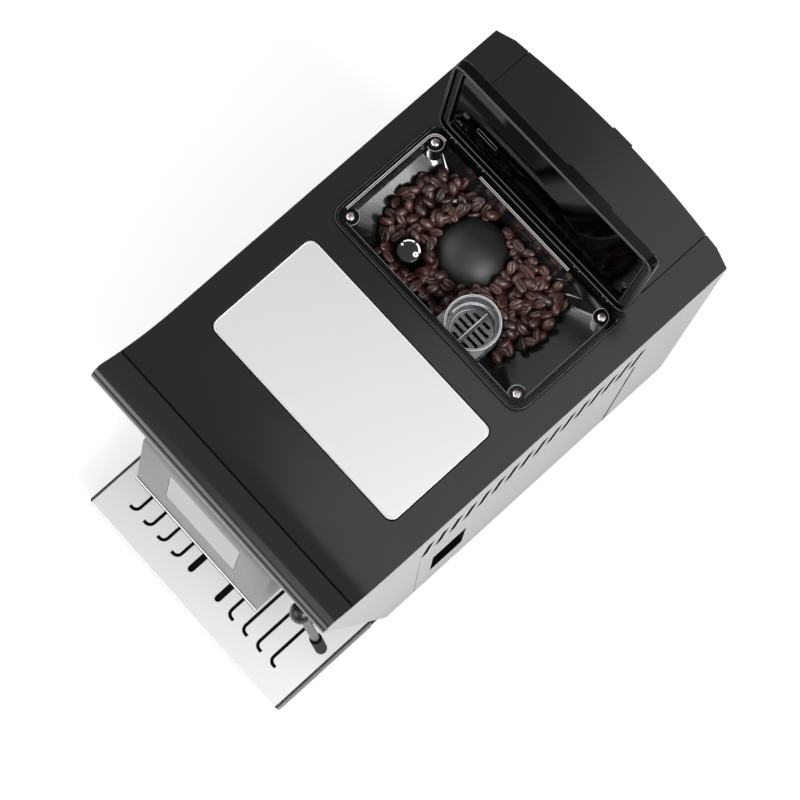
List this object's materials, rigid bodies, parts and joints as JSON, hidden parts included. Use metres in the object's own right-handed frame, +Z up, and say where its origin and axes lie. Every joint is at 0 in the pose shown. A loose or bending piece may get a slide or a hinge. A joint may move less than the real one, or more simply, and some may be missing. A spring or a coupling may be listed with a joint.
{
  "type": "automatic espresso machine",
  "caption": "Bean-to-cup espresso machine with silver sides, a black top with an open bean hopper, a cup plate, sliding spout, steam wand, drip tray and lift-out tank.",
  "frame": {"origin": "on the worktop, under the middle of the object's box", "axes": "+Z up, -Y to the front where the spout and drip tray are, +X to the right seen from the front"},
  "size_m": [0.24, 0.457, 0.4521],
  "materials": {
    "silver_paint": "satin silver paint on sheet steel",
    "gloss_black": "moulded, glossy",
    "matt_black": "moulded, fine grain",
    "bright_steel": "polished stainless steel",
    "plain_steel": "zinc plated",
    "cast_aluminium": "cast, bead blasted",
    "smoked_plastic": "smoked clear polycarbonate",
    "clear_plastic": "clear polycarbonate",
    "grey_plastic": "moulded, satin",
    "white_ceramic": "sintered ceramic, white",
    "black_rubber": "moulded rubber",
    "silicone": "white silicone hose",
    "circuit_board": "glass fibre board with relays"
  },
  "bodies": {
    "housing": {"left_side_panel": "silver_paint", "right_side_panel": "silver_paint", "top_cover": "gloss_black", "front_lip": "gloss_black", "grinder_cap": "gloss_black", "base_chassis": "matt_black", "brew_unit": "matt_black", "front_fascia": "matt_black", "hopper_shell": "matt_black", "inner_frame": "matt_black", "power_inlet": "matt_black", "rear_panel": "matt_black", "switch_frame": "matt_black", "cup_plate": "bright_steel", "door_hinge_pin_lower": "bright_steel", "door_hinge_pin_upper": "bright_steel", "lid_hinge_rod": "bright_steel", "rim_screw_1": "bright_steel", "rim_screw_2": "bright_steel", "rim_screw_3": "bright_steel", "rim_screw_4": "bright_steel", "brew_motor": "plain_steel", "grinder_motor": "plain_steel", "pump": "plain_steel", "steam_collar": "plain_steel", "grinder_body": "cast_aluminium", "thermoblock": "cast_aluminium", "hopper_rim": "smoked_plastic", "display_window": "clear_plastic", "powder_chute": "clear_plastic", "display_housing": "grey_plastic", "foot_front_left": "black_rubber", "foot_front_right": "black_rubber", "foot_rear_left": "black_rubber", "foot_rear_right": "black_rubber", "hose_tank_to_pump": "silicone", "hose_pump_to_heater": "silicone", "hose_heater_to_wand": "silicone", "circuit_board": "circuit_board"},
    "service_door": {"service_door": "silver_paint"},
    "push_button_left": {"push_button_1": "grey_plastic"},
    "push_button_right": {"push_button_2": "grey_plastic"},
    "coffee_spout": {"coffee_spout": "matt_black", "spout_nozzle_left": "bright_steel", "spout_nozzle_right": "bright_steel"},
    "steam_wand": {"steam_wand": "bright_steel", "froth_sleeve": "matt_black"},
    "drip_tray": {"drip_tray": "matt_black", "grounds_container": "matt_black"},
    "drip_grille": {"drip_grille": "bright_steel"},
    "hopper_lid": {"hopper_lid": "smoked_plastic", "lid_gasket": "black_rubber"},
    "upper_burr": {"upper_burr": "white_ceramic"},
    "grind_knob": {"grind_knob": "gloss_black"},
    "lower_burr": {"lower_burr": "white_ceramic"},
    "water_tank": {"water_tank": "clear_plastic"},
    "tank_lid": {"tank_lid": "gloss_black"},
    "brew_piston": {"brew_piston": "grey_plastic"},
    "drive_screw": {"drive_screw": "plain_steel"},
    "power_switch": {"power_switch": "gloss_black"}
  },
  "joints": [
    {"name": "service_door_hinge", "type": "hinge", "parent": "housing", "child": "service_door", "pos_m": [0.1185, 0.143, 0.1], "axis": [0, 0, 1], "range_deg": [0, 100]},
    {"name": "push_button_left_press", "type": "slide", "parent": "housing", "child": "push_button_left", "axis": [0, 0.9853, 0.1706], "range_m": [0, 0.002], "stiffness_N_per_m": 300, "springref_m": -0.002},
    {"name": "push_button_right_press", "type": "slide", "parent": "housing", "child": "push_button_right", "axis": [0, 0.9853, 0.1706], "range_m": [0, 0.002], "stiffness_N_per_m": 300, "springref_m": -0.002},
    {"name": "coffee_spout_slide", "type": "slide", "parent": "housing", "child": "coffee_spout", "axis": [0, -0.1706, 0.9853], "range_m": [-0.04, 0]},
    {"name": "steam_wand_swing", "type": "hinge", "parent": "housing", "child": "steam_wand", "pos_m": [0.089, -0.16564, 0.23504], "axis": [0, -0.9853, -0.1706], "range_deg": [-30, 20]},
    {"name": "drip_tray_pull", "type": "slide", "parent": "housing", "child": "drip_tray", "axis": [0, -1, 0], "range_m": [0, 0.2]},
    {"name": "drip_grille_lift", "type": "slide", "parent": "drip_tray", "child": "drip_grille", "axis": [0, 0, 1], "range_m": [0, 0.05]},
    {"name": "hopper_lid_hinge", "type": "hinge", "parent": "housing", "child": "hopper_lid", "pos_m": [0, 0.1372, 0.3476], "axis": [1, 0, 0], "range_deg": [0, 97]},
    {"name": "upper_burr_turn", "type": "hinge", "parent": "housing", "child": "upper_burr", "pos_m": [-0.015, 0.0965, 0.275], "axis": [0, 0, 1], "range_deg": [-20, 20]},
    {"name": "grind_knob_turn", "type": "hinge", "parent": "housing", "child": "grind_knob", "pos_m": [-0.0436, 0.0603, 0.31], "axis": [0, 0, 1], "range_deg": [-75, 75]},
    {"name": "lower_burr_spin", "type": "hinge", "parent": "housing", "child": "lower_burr", "pos_m": [-0.015, 0.0965, 0.262], "axis": [0, 0, 1], "continuous": true},
    {"name": "water_tank_lift", "type": "slide", "parent": "housing", "child": "water_tank", "axis": [0, 0, 1], "range_m": [0, 0.175]},
    {"name": "tank_lid_hinge", "type": "hinge", "parent": "water_tank", "child": "tank_lid", "pos_m": [0, 0.1612, 0.3404], "axis": [1, 0, 0], "range_deg": [0, 82]},
    {"name": "drive_screw_turn", "type": "hinge", "parent": "housing", "child": "drive_screw", "pos_m": [0.048, 0.076, 0.05], "axis": [0, 0, 1], "range_deg": [-543, 0]},
    {"name": "brew_piston_slide", "type": "slide", "parent": "housing", "child": "brew_piston", "axis": [0, 0, 1], "range_m": [-0.03, 0]},
    {"name": "power_switch_rock", "type": "hinge", "parent": "housing", "child": "power_switch", "pos_m": [-0.03, 0.22052, 0.035], "axis": [1, 0, 0], "range_deg": [-8, 8]}
  ],
  "couplings": [
    {"joint": "grind_knob_turn", "follows": "upper_burr_turn", "ratio": -3.5835},
    {"joint": "drive_screw_turn", "follows": "brew_piston_slide", "rad_per_m": 314.16}
  ]
}
